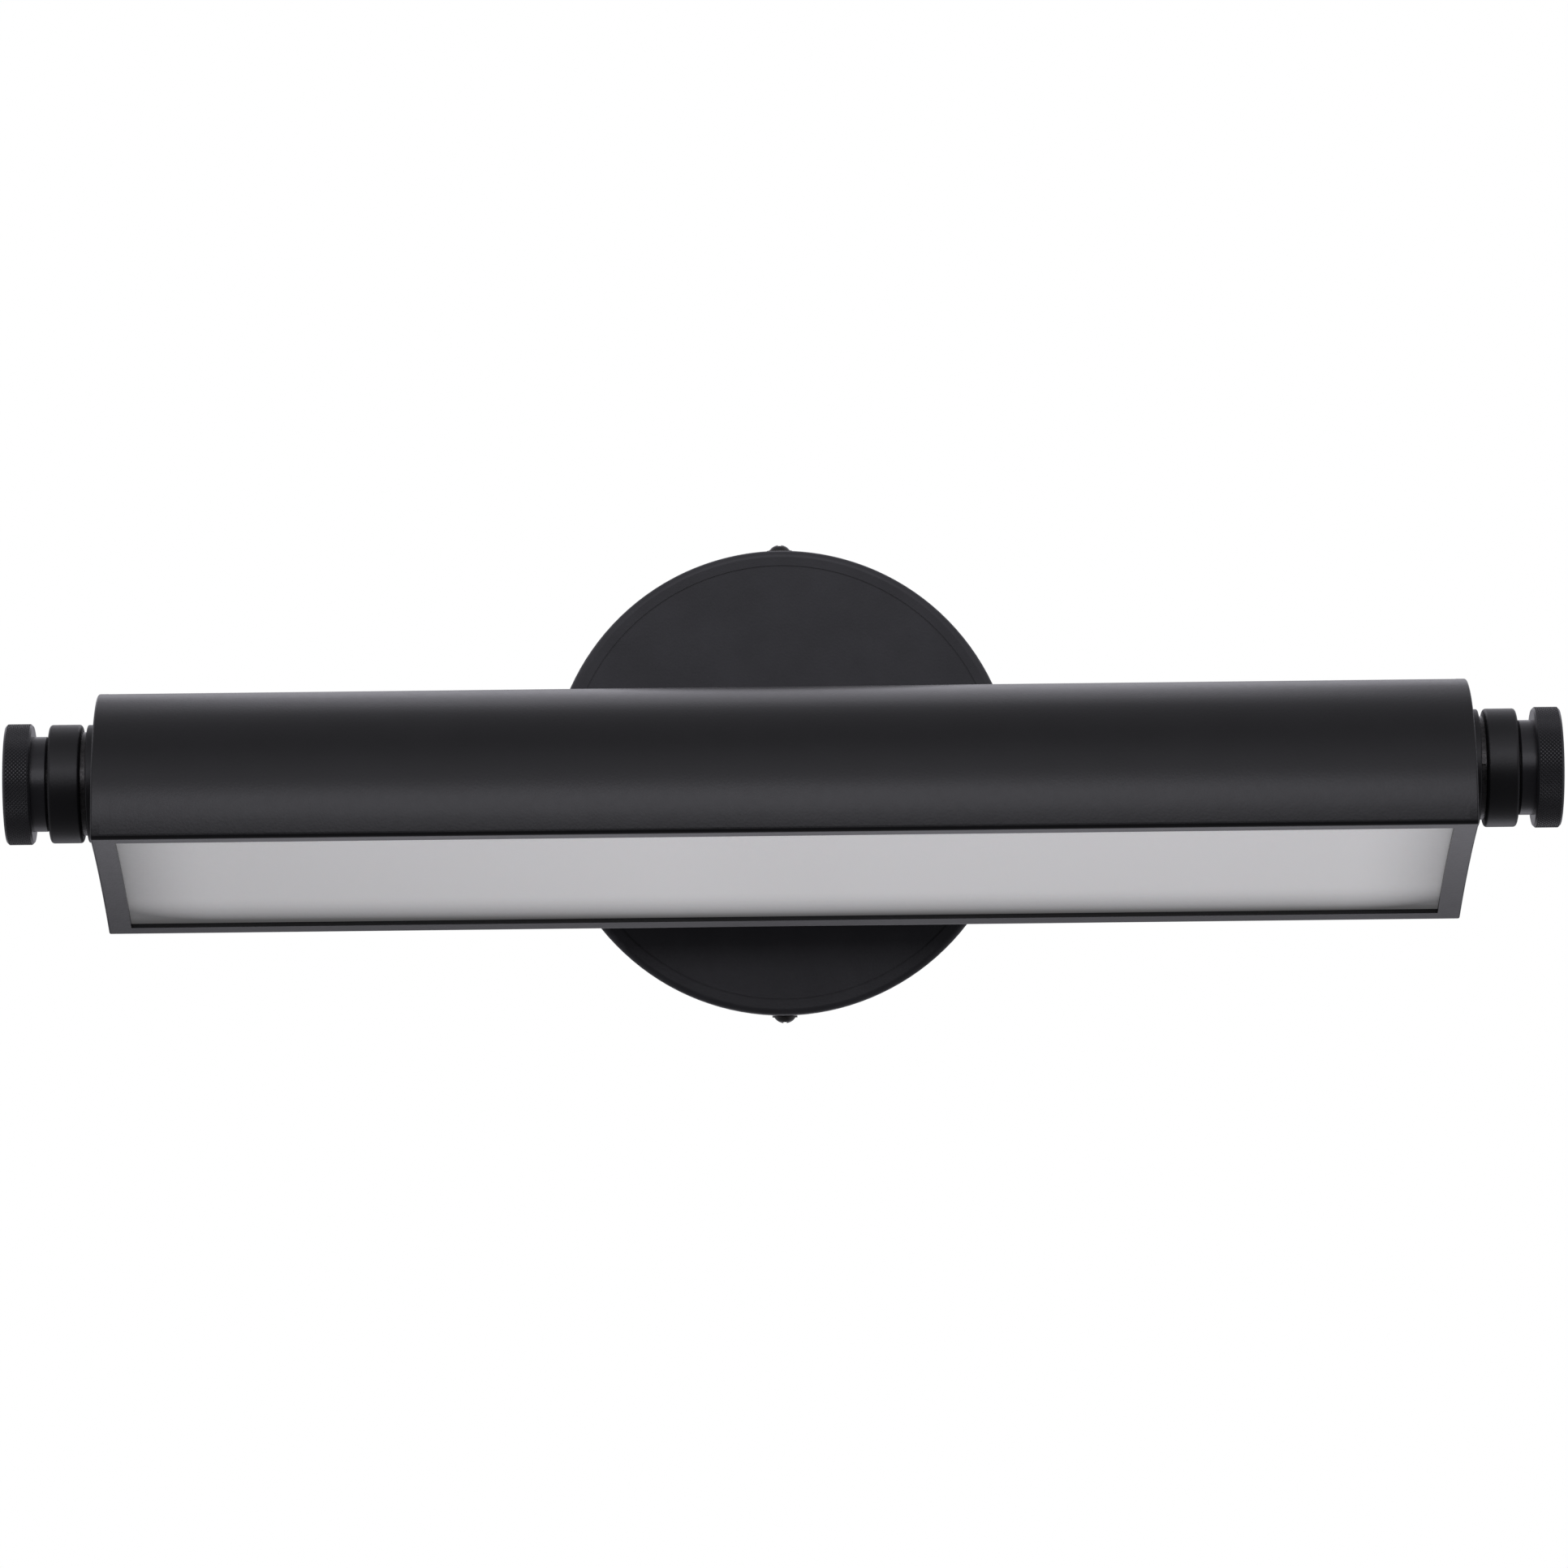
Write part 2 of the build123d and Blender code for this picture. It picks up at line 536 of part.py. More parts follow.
def make_supply_lead():
    """Low-voltage lead: driver, grommet, bar, left arm, then along the tilt axis."""
    exit_z = (DRIVER_BOTTOM + DRIVER_TOP) / 2
    points = [
        (-DRIVER_SIZE[0] / 2, WIRE_DEPTH, exit_z),
        (WIRE_HOLE_X, WIRE_DEPTH, exit_z),
        (WIRE_HOLE_X, WIRE_DEPTH, 0),
        (WIRE_HOLE_X, BAR_MIDDLE, 0),
        (-COLLAR_MIDDLE, BAR_MIDDLE, 0),
        (-COLLAR_MIDDLE, -TILT_AXIS_REACH, 0),
        (LEAD_JOINT_X, -TILT_AXIS_REACH, 0),
    ]
    return round_lead(points, [5.0, 5.0, 2.9, 2.9, 2.9])


# ---------------------------------------------------------------- head casing

def head_profile():
    """D outline of the head: a round back closed by a slightly hollow lit face."""
    low = -FACE_DROP
    front_corner = (-FACE_HALF_WIDTH, low)
    rear_corner = (FACE_HALF_WIDTH, low)
    back = ThreePointArc(front_corner, (0, HEAD_ARC_RADIUS - HEAD_ARC_DROP), rear_corner)
    face = ThreePointArc(rear_corner, (0, low + FACE_HOLLOW), front_corner)
    outline = make_face(Curve() + [back, face])
    return fillet(outline.vertices(), EDGE_ROUND)


def hollow_circle(radius):
    """Disc about the centre line of the hollow lit face."""
    return Pos(0, HOLLOW_CENTRE) * Circle(radius)


def head_blank():
    """Solid outline of the whole head with its end edges rounded."""
    blank = along_x(head_profile(), -HALF_LENGTH, HALF_LENGTH)
    ends = blank.edges().filter_by(lambda edge: abs(abs(edge.center().X) - HALF_LENGTH) < 0.01)
    return fillet(ends, END_ROUND)


BLANK = head_blank()
ABOVE_FRAME = along_x(head_profile() - hollow_circle(FRAME_TOP_RADIUS), -HALF_LENGTH, HALF_LENGTH)


def boss_places():
    """Y and Z of each end-cap screw in the head's own frame."""
    for angle in BOSS_ANGLES:
        reach = SHELL_INNER_RADIUS - BOSS_INSET
        y = reach * cos(radians(angle))
        z = reach * sin(radians(angle)) - HEAD_ARC_DROP
        yield y, z


def make_head_shell():
    """Extruded back with screw bosses and two ribs that carry the tray."""
    inner_disc = Pos(0, -HEAD_ARC_DROP) * Circle(SHELL_INNER_RADIUS)
    outer_disc = Pos(0, -HEAD_ARC_DROP) * Circle(HEAD_ARC_RADIUS - SHELL_WALL / 2)
    profile = head_profile() - hollow_circle(FRAME_TOP_RADIUS) - inner_disc
    rib_middle = TRAY_TOP + RIB_HEIGHT / 2
    ribs = Pos(0, rib_middle) * Rectangle(2 * HEAD_ARC_RADIUS, RIB_HEIGHT)
    ribs -= Pos(0, rib_middle) * Rectangle(2 * RIB_INSIDE, RIB_HEIGHT)
    profile += ribs & outer_disc
    for y, z in boss_places():
        profile += (Pos(y, z) * Circle(BOSS_RADIUS)) & outer_disc
    for y, z in boss_places():
        profile -= Pos(y, z) * Circle(CAP_SCREW_RADIUS)
    shell = along_x(profile, -SHELL_END, SHELL_END)
    for x in TRAY_SCREW_X:
        for y in (-TRAY_SCREW_Y, TRAY_SCREW_Y):
            shell -= rod_z(M3_RADIUS, TRAY_TOP - 1, TRAY_TOP + RIB_HEIGHT, x=x, y=y)
    return HEAD_PLACE * shell


def make_end_cap(side):
    """Flat D plate on the head's end, with the trunnion hole in its middle."""
    slab = block((SHELL_END, -HEAD_LENGTH, -HEAD_LENGTH), (HALF_LENGTH, HEAD_LENGTH, HEAD_LENGTH))
    cap = BLANK & ABOVE_FRAME & slab
    cap -= rod_x(TRUNNION_RADIUS + THREAD_GAP, 0, HALF_LENGTH + 1)
    for y, z in boss_places():
        cap -= rod_x(CAP_SCREW_RADIUS + THREAD_GAP, 0, HALF_LENGTH + 1, y=y, z=z)
        sink_radius, sink_depth = CAP_FLUSH_HEAD
        sink = HEAD_TO_PLUS_X * Cone(CAP_SCREW_RADIUS, sink_radius, sink_depth)
        cap -= Pos(HALF_LENGTH - sink_depth / 2, y, z) * sink
    return HEAD_PLACE * mirrored(cap, side)


def make_end_cap_screws():
    """Countersunk screws that fix both end caps to the shell's bosses."""
    screw = HEAD_TO_PLUS_X * flush_screw(CAP_SCREW_RADIUS, 9.0, CAP_FLUSH_HEAD)
    screws = []
    for side in (-1, 1):
        for y, z in boss_places():
            screws.append(HEAD_PLACE * mirrored(Pos(HALF_LENGTH, y, z) * screw, side))
    return group(screws)


def make_window_frame():
    """Thin hollow-faced plate round the diffuser, as long as the whole head."""
    plate = BLANK - ABOVE_FRAME
    front = FRONT_STRIP - FACE_HALF_WIDTH
    rear = FACE_HALF_WIDTH - REAR_STRIP
    end = HALF_LENGTH - SIDE_STRIP
    plate -= block((-end, front, -2 * FACE_DROP), (end, rear, 0))
    return HEAD_PLACE * plate


def make_diffuser():
    """Frosted sheet that lies on the frame, hollow like the face."""
    strip = Pos(0, -FACE_DROP) * Rectangle(2 * DIFFUSER_HALF_WIDTH, 20)
    profile = (hollow_circle(DIFFUSER_TOP_RADIUS) - hollow_circle(FRAME_TOP_RADIUS)) & strip
    return HEAD_PLACE * along_x(profile, 0.5 - SHELL_END, SHELL_END - 0.5)


# ---------------------------------------------------------------- light engine

def make_led_tray():
    """Aluminium channel: it cools the board and its legs hold the diffuser down."""
    plate = Pos(0, TRAY_TOP - TRAY_THICKNESS / 2) * Rectangle(2 * TRAY_HALF_WIDTH, TRAY_THICKNESS)
    leg_middle = TRAY_LEG_OUTSIDE - TRAY_THICKNESS / 2
    for side in (-1, 1):
        leg = Rectangle(TRAY_THICKNESS, TRAY_LEG_HEIGHT)
        plate += Pos(side * leg_middle, TRAY_TOP - TRAY_LEG_HEIGHT / 2) * leg
    plate -= hollow_circle(DIFFUSER_TOP_RADIUS)
    tray = along_x(plate, 1 - SHELL_END, SHELL_END - 1)
    tray -= rod_z(LEAD_CHANNEL_RADIUS, BOARD_TOP - 1, TRAY_TOP + 1, x=BOARD_FEED_X)
    for x in TRAY_SCREW_X:
        for y in (-TRAY_SCREW_Y, TRAY_SCREW_Y):
            tray -= rod_z(M3_RADIUS, BOARD_TOP - 1, TRAY_TOP + 1, x=x, y=y)
    for x in BOARD_SCREW_X:
        tray -= rod_z(M2_RADIUS, BOARD_TOP - 1, TRAY_TOP + 1, x=x)
    return HEAD_PLACE * tray


def make_tray_screws():
    """Pan-head screws up through the tray into the shell's ribs."""
    screw = HEAD_TO_MINUS_Z * pan_screw(M3_RADIUS, 5.0, M3_LOW_HEAD)
    screws = []
    for x in TRAY_SCREW_X:
        for y in (-TRAY_SCREW_Y, TRAY_SCREW_Y):
            screws.append(HEAD_PLACE * Pos(x, y, BOARD_TOP) * screw)
    return group(screws)


def make_led_board():
    """Aluminium-core circuit board under the tray."""
    board = block((-BOARD_HALF_LENGTH, -BOARD_HALF_WIDTH, BOARD_BOTTOM),
                  (BOARD_HALF_LENGTH, BOARD_HALF_WIDTH, BOARD_TOP))
    for x in BOARD_SCREW_X:
        board -= rod_z(M2_RADIUS, BOARD_BOTTOM - 1, BOARD_TOP + 1, x=x)
    return HEAD_PLACE * board


def make_board_screws():
    """Small pan-head screws that clamp the board to the tray."""
    screw = HEAD_TO_MINUS_Z * pan_screw(M2_RADIUS, 4.0, M2_HEAD)
    return group([HEAD_PLACE * Pos(x, 0, BOARD_BOTTOM) * screw for x in BOARD_SCREW_X])


def make_led_chips():
    """Row of surface-mount LEDs along the board."""
    chips = []
    for index in range(CHIP_COUNT):
        x = (index - (CHIP_COUNT - 1) / 2) * CHIP_PITCH
        chip = Pos(x, 0, BOARD_BOTTOM - CHIP_SIZE[2] / 2) * Box(*CHIP_SIZE)
        chips.append(HEAD_PLACE * chip)
    return group(chips)


def make_reflector():
    """White folded sheet each side of the board that flares to the diffuser."""
    outer = TRAY_LEG_OUTSIDE - TRAY_THICKNESS - 0.4
    inner = BOARD_HALF_WIDTH + 0.6
    top = BOARD_TOP
    bottom = -FACE_DROP + 4.6
    wings = []
    for side in (-1, 1):
        corners = [(side * inner, top), (side * outer, bottom),
                   (side * (outer - REFLECTOR_THICKNESS), bottom),
                   (side * inner, top - 1.3 * REFLECTOR_THICKNESS)]
        wing = make_face(Polyline(*corners, close=True))
        wings.append(HEAD_PLACE * along_x(wing, 4 - SHELL_END, SHELL_END - 4))
    return group(wings)


def make_lead_connector():
    """Block on the tray where the supply lead meets the head's own lead."""
    body = block((CONNECTOR_START, -CONNECTOR_HALF_WIDTH, TRAY_TOP),
                 (CONNECTOR_END, CONNECTOR_HALF_WIDTH, CONNECTOR_TOP))
    body = fillet(body.edges().filter_by(Axis.X).group_by(Axis.Z)[-1], 1.5)
    body -= rod_x(LEAD_RADIUS + 0.1, CONNECTOR_START - 1, LEAD_JOINT_X + 1)
    return HEAD_PLACE * body


def make_head_lead():
    """Lead from the connector down through the tray to the board."""
    points = [(CONNECTOR_END, 0, 0), (BOARD_FEED_X, 0, 0), (BOARD_FEED_X, 0, BOARD_TOP)]
    return HEAD_PLACE * round_lead(points, 6.0)


# ---------------------------------------------------------------- swivel ends

def make_trunnion(side):
    """Turned flange on a hollow spigot. The left one is slotted for the lead."""
    flange = rod_x(FLANGE_RADIUS, HALF_LENGTH, FLANGE_END)
    flange = fillet(flange.edges().filter_by(GeomType.CIRCLE), 0.4)
    trunnion = flange + rod_x(TRUNNION_RADIUS, TRUNNION_INNER_END, TRUNNION_OUTER_END)
    trunnion -= rod_x(TRUNNION_BORE_RADIUS, 0, KNOB_END)
    if side < 0:
        trunnion -= trunnion_slot()
    return HEAD_PLACE * mirrored(trunnion, side)


def trunnion_slot():
    """Slot that clears the lead sleeve over the whole tilt, with its wall in front."""
    stop_margin = 2.0
    half_angle = TILT_HALF_RANGE + degrees(atan2(SLEEVE_RADIUS, SLEEVE_TIP)) + stop_margin
    wall_angle = radians(180 - half_angle)
    reach = 2 * TRUNNION_RADIUS
    half_width = SLEEVE_RADIUS + 0.3
    corners = [(0, 0), (-reach * cos(wall_angle), reach * sin(wall_angle)),
               (-reach * cos(wall_angle), -reach * sin(wall_angle))]
    wall = along_x(make_face(Polyline(*corners, close=True)), COLLAR_START, COLLAR_END)
    return rod_x(TRUNNION_RADIUS + 1, COLLAR_MIDDLE - half_width, COLLAR_MIDDLE + half_width) - wall


def make_trunnion_nut(side):
    """Thin hexagon nut inside the end cap."""
    hexagon = RegularPolygon(TRUNNION_NUT_RADIUS, 6)
    nut = along_x(hexagon, SHELL_END - TRUNNION_NUT_THICKNESS, SHELL_END)
    nut -= rod_x(TRUNNION_RADIUS + THREAD_GAP, 0, HALF_LENGTH)
    return HEAD_PLACE * mirrored(nut, side)


def make_friction_washer(side):
    """Washer between flange and collar. The right one has a small tab in front."""
    washer_end = COLLAR_START - FACE_GAP
    washer = rod_x(WASHER_RADIUS, FLANGE_END, washer_end)
    if side > 0:
        tab = block((FLANGE_END, -TAB_REACH, -TAB_WIDTH / 2), (washer_end - 0.3, 0, TAB_WIDTH / 2))
        washer += Rot(-TAB_ANGLE, 0, 0) * tab
    washer -= rod_x(TRUNNION_RADIUS + THREAD_GAP, 0, COLLAR_START)
    return AXIS_PLACE * mirrored(washer, side)


def make_knob_washer(side):
    """Thin washer that the knob's neck presses on the collar."""
    washer = rod_x(KNOB_WASHER_RADIUS, KNOB_WASHER_START, KNOB_WASHER_START + KNOB_WASHER_THICKNESS)
    washer -= rod_x(TRUNNION_RADIUS + RUNNING_GAP, 0, KNOB_END)
    return AXIS_PLACE * mirrored(washer, side)


def make_knob(side):
    """Knob with a plain neck and a blind, tapped bore."""
    neck = rod_x(NECK_RADIUS, NECK_START, NECK_END)
    neck = chamfer(neck.edges().filter_by(GeomType.CIRCLE).group_by(Axis.X)[0], 0.4)
    grip = rod_x(KNOB_RADIUS, NECK_END, KNOB_END)
    grip = chamfer(grip.edges().filter_by(GeomType.CIRCLE), KNOB_CHAMFER)
    knob = neck + grip
    knob -= rod_x(KNOB_RADIUS - KNOB_FACE_RIM, KNOB_END - KNOB_FACE_RECESS, KNOB_END + 1)
    knob -= rod_x(TRUNNION_RADIUS + RUNNING_GAP, 0, TRUNNION_OUTER_END + 0.5)
    return AXIS_PLACE * mirrored(knob, side)


# ---------------------------------------------------------------- all nodes

nodes["canopy"] = make_canopy()
nodes["mounting_strap"] = make_mounting_strap()
nodes["canopy_side_screws"] = make_side_screws()
nodes["canopy_side_washers"] = make_side_washers()
nodes["ground_screw"] = make_ground_screw()
nodes["led_driver"] = make_led_driver()
nodes["adhesive_pads"] = make_adhesive_pads()
nodes["terminal_block"] = make_terminal_block()
nodes["terminal_screws"] = make_terminal_screws()
nodes["driver_input_wires"] = make_driver_input_wires()
nodes["wire_grommet"] = make_wire_grommet()
nodes["supply_lead"] = make_supply_lead()
nodes["back_bar"] = make_back_bar()
nodes["bar_nuts"] = make_bar_nuts()
nodes["bar_screws"] = make_bar_screws()
nodes["arm_screws"] = make_arm_screws()
nodes["lead_sleeve"] = make_lead_sleeve()
nodes["head_shell"] = make_head_shell()
nodes["end_cap_screws"] = make_end_cap_screws()
nodes["window_frame"] = make_window_frame()
nodes["diffuser"] = make_diffuser()
nodes["led_tray"] = make_led_tray()
nodes["tray_screws"] = make_tray_screws()
nodes["led_board"] = make_led_board()
nodes["board_screws"] = make_board_screws()
nodes["led_chips"] = make_led_chips()
nodes["reflector"] = make_reflector()
nodes["lead_connector"] = make_lead_connector()
nodes["head_lead"] = make_head_lead()

for name, side in (("left", -1), ("right", 1)):
    nodes[name + "_bar_plug"] = make_bar_plug(side)
    nodes[name + "_arm"] = make_arm(side)
    nodes[name + "_collar"] = make_collar(side)
    nodes[name + "_bush"] = make_bush(side)
    nodes[name + "_end_cap"] = make_end_cap(side)
    nodes[name + "_trunnion"] = make_trunnion(side)
    nodes[name + "_trunnion_nut"] = make_trunnion_nut(side)
    nodes[name + "_friction_washer"] = make_friction_washer(side)
    nodes[name + "_knob_washer"] = make_knob_washer(side)
    nodes[name + "_knob"] = make_knob(side)

for name, shape in nodes.items():
    export_step(shape, "parts/" + name + ".step")
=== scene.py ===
"""Look of the picture light: camera, studio light, materials and its two knurled knobs."""

import json
from math import cos, hypot, pi, radians, sin

import bmesh
import bpy
from mathutils import Matrix, Vector


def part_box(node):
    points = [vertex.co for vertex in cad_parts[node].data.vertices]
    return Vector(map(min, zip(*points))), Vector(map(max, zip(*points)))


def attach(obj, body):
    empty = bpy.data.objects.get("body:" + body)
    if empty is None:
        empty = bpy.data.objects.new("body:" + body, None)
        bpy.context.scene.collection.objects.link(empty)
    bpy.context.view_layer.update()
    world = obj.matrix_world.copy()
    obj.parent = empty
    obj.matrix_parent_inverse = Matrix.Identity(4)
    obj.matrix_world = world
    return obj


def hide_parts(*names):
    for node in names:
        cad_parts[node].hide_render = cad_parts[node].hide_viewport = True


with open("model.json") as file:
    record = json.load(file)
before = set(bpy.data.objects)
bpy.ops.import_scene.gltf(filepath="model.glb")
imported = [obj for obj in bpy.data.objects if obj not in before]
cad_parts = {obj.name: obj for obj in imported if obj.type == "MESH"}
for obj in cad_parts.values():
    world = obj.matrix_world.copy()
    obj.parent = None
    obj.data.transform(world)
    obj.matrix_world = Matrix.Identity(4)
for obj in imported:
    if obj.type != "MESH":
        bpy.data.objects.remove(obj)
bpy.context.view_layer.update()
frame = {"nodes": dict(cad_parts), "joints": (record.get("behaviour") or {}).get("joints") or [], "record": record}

MM = 0.001

# Camera: a long lens in front of the lamp, a little below its middle
CAMERA_PLACE = Vector((-11.6, -2364.3, -75.0)) * MM
CAMERA_ROLL = 0.665             # degrees
FOCAL_LENGTH = 197.35
SENSOR_WIDTH = 36.0
LENS_SHIFT = (0.00118, 0.00056)

# Studio
FLOOR_DEPTH = 2.7
FLOOR_RADIUS = 12.0
FLOOR_GLOW = 0.35               # stands for the lamps that light only the floor
# Light from all round by height angle in degrees: 0 in front of the lamp, 90 above, 180 behind
SURROUND = ((-180, 0.55), (-150, 0.30), (-125, 0.30), (-80, 0.12), (-30, 0.06), (-5, 0.05),
            (12, 0.28), (30, 0.62), (50, 0.62), (75, 0.30), (105, 0.32), (120, 0.42),
            (143, 0.45), (156, 1.10), (168, 0.55), (180, 0.55))
SIDE_LEVEL = 0.6                # light from far left and far right, at any height
SIDE_NARROWING = 4              # how closely the side light keeps to the two sides
LIGHT_TINT = (1.0, 0.985, 1.075)
# Panels: height angle in degrees, distance and size in metres, power in watts
SOFTBOX = {"height_angle": 20, "distance": 2.2, "size": (1.1, 1.1), "power": 4.8}
TOP_LIGHT = {"height_angle": 135, "distance": 1.3, "size": (0.5, 0.7), "power": 0.55}
LOW_LIGHT = {"height_angle": -140, "distance": 1.0, "size": (0.7, 0.5), "power": 0.56, "side": 0.08}

# Lit face: how far it is turned forward, and its painted glow as radiance, which stands in for the studio light
# falling on the face, as the lamp is unlit
FACE_TILT = 20.0
PAINTED_FACE_GLOW = 0.30
GLOW_SHARE_IN_PAINTED_SHADE = 0.2               # share of the painted glow that is left where the painted shade is full
# Painted shade on the face: the colour it greys to, and where the greying runs near its edges and towards its left
# end
PAINTED_SHADE_COLOUR = (0.20, 0.20, 0.19)
PAINTED_SHADE_START = 3 * MM            # distance from the face's edge where the painted shade begins, as are the two ends below
PAINTED_REAR_SHADE_END = 20 * MM
PAINTED_END_SHADE = 0.75
PAINTED_END_SHADE_END = 30 * MM
PAINTED_LEFT_SHADE = 0.17
PAINTED_LEFT_SHADE_FROM = -30 * MM      # along X
PAINTED_LEFT_SHADE_TO = -150 * MM

swivel = next(joint for joint in frame["joints"] if joint["name"] == "head_tilt")
SWIVEL_AXIS = Vector(swivel["pos_m"])

# Knobs: a knurled rim of diamonds in rings, a neck and a bore for the trunnion
KNOB_DIAMONDS = 96
KNOB_ROWS = 7
KNURL_DEPTH = 0.12 * MM
KNURL_TRUNCATION = 1 / 3        # share of each pyramid's height that is left
STEPS_PER_DIAMOND = 6
SHARP_EDGE_ANGLE = 22           # degrees; steeper folds than this are shaded as edges
KNOB_LENGTH = 7.2 * MM
KNOB_CHAMFER = 0.6 * MM
KNOB_FACE_RIM = 4.0 * MM
KNOB_FACE_RECESS = 0.4 * MM
NECK_RADIUS = 12.65 * MM
NECK_CHAMFER = 0.4 * MM
BORE_RADIUS = 5.05 * MM
BORE_DEPTH = 7.75 * MM


# ---------------------------------------------------------------- camera and studio

def make_camera():
    """Camera at the viewing angle, aimed at the middle of the canopy's back."""
    camera = bpy.data.objects.new("camera", bpy.data.cameras.new("camera"))
    bpy.context.scene.collection.objects.link(camera)
    camera.data.lens = FOCAL_LENGTH
    camera.data.sensor_width = SENSOR_WIDTH
    camera.data.shift_x, camera.data.shift_y = LENS_SHIFT
    camera.data.clip_end = 100
    forward = -CAMERA_PLACE.normalized()
    right = forward.cross(Vector((0, 0, 1))).normalized()
    up = right.cross(forward)
    turn = radians(CAMERA_ROLL)
    across = cos(turn) * right - sin(turn) * up
    upward = sin(turn) * right + cos(turn) * up
    place = Matrix((across, upward, -forward)).transposed().to_4x4()
    place.translation = CAMERA_PLACE
    camera.matrix_world = place
    bpy.context.scene.camera = camera


def tinted(level):
    return tuple(level * part for part in LIGHT_TINT)


def make_world():
    """White backdrop, and light from all round that changes with its height angle."""
    world = bpy.data.worlds.new("studio")
    bpy.context.scene.world = world
    world.use_nodes = True
    tree = world.node_tree

    def maths(operation, first, second):
        made = tree.nodes.new("ShaderNodeMath")
        made.operation = operation
        for socket, value in zip(made.inputs, (first, second)):
            if isinstance(value, (int, float)):
                socket.default_value = value
            else:
                tree.links.new(value, socket)
        return made.outputs[0]

    coords = tree.nodes.new("ShaderNodeTexCoord")
    split = tree.nodes.new("ShaderNodeSeparateXYZ")
    tree.links.new(coords.outputs["Generated"], split.inputs[0])
    sideways, backward, upward = split.outputs
    angle = maths("ARCTAN2", upward, maths("MULTIPLY", backward, -1))
    turn = maths("ADD", maths("DIVIDE", angle, 2 * pi), 0.5)
    ramp = tree.nodes.new("ShaderNodeValToRGB")
    set_stops(ramp, [((height + 180) / 360, tinted(level)) for height, level in SURROUND])
    tree.links.new(turn, ramp.inputs["Fac"])
    sides = tree.nodes.new("ShaderNodeMix")
    sides.data_type = "RGBA"
    tree.links.new(maths("POWER", maths("ABSOLUTE", sideways, 0), SIDE_NARROWING),
                   sides.inputs["Factor"])
    tree.links.new(ramp.outputs["Color"], sides.inputs["A"])
    sides.inputs["B"].default_value = (*tinted(SIDE_LEVEL), 1)
    around = tree.nodes["Background"]
    tree.links.new(sides.outputs["Result"], around.inputs["Color"])
    backdrop = tree.nodes.new("ShaderNodeBackground")
    backdrop.inputs["Color"].default_value = (1, 1, 1, 1)
    path = tree.nodes.new("ShaderNodeLightPath")
    mix = tree.nodes.new("ShaderNodeMixShader")
    tree.links.new(path.outputs["Is Camera Ray"], mix.inputs["Fac"])
    tree.links.new(around.outputs[0], mix.inputs[1])
    tree.links.new(backdrop.outputs[0], mix.inputs[2])
    tree.links.new(mix.outputs[0], tree.nodes["World Output"].inputs["Surface"])


def make_light(name, height_angle, distance, size, power, side=0.0):
    """Soft rectangular light aimed at the lamp's swivel axis."""
    light = bpy.data.lights.new(name, "AREA")
    light.shape = "RECTANGLE"
    light.size, light.size_y = size
    light.energy = power
    light.color = LIGHT_TINT
    panel = bpy.data.objects.new(name, light)
    bpy.context.scene.collection.objects.link(panel)
    angle = radians(height_angle)
    toward_light = Vector((side, -cos(angle), sin(angle))).normalized()
    panel.location = SWIVEL_AXIS + toward_light * distance
    panel.rotation_mode = "QUATERNION"
    panel.rotation_quaternion = toward_light.to_track_quat("Z", "Y")
    panel.visible_camera = False


def make_lights():
    """A wide softbox in front and above, and two panels behind the lamp."""
    make_light("softbox", **SOFTBOX)
    make_light("top_light", **TOP_LIGHT)
    make_light("low_light", **LOW_LIGHT)


def make_floor():
    """Plain pale floor of the gallery, well below the lamp."""
    mesh = bpy.data.meshes.new("floor")
    shape = bmesh.new()
    bmesh.ops.create_circle(shape, cap_ends=True, radius=FLOOR_RADIUS, segments=96)
    shape.to_mesh(mesh)
    shape.free()
    floor = bpy.data.objects.new("floor", mesh)
    bpy.context.scene.collection.objects.link(floor)
    floor.location.z = -FLOOR_DEPTH
    floor.visible_glossy = False
    floor.visible_diffuse = False
    look = Look("floor", (0.8, 0.8, 0.79), 0.7)
    look.vary_colour(look.noise(1.5), 0.03)
    look.emboss(look.noise(60), 0.2 * MM)
    look.set("Emission Color", (1, 1, 1, 1))
    look.set("Emission Strength", FLOOR_GLOW)
    mesh.materials.append(look.material)


# ---------------------------------------------------------------- materials

def set_stops(ramp, stops):
    """Give a colour ramp these (place, colour) stops."""
    elements = ramp.color_ramp.elements
    for place, _ in stops[1:-1]:
        elements.new(place)
    for element, (place, colour) in zip(elements, stops):
        element.position = place
        element.color = (*colour, 1)


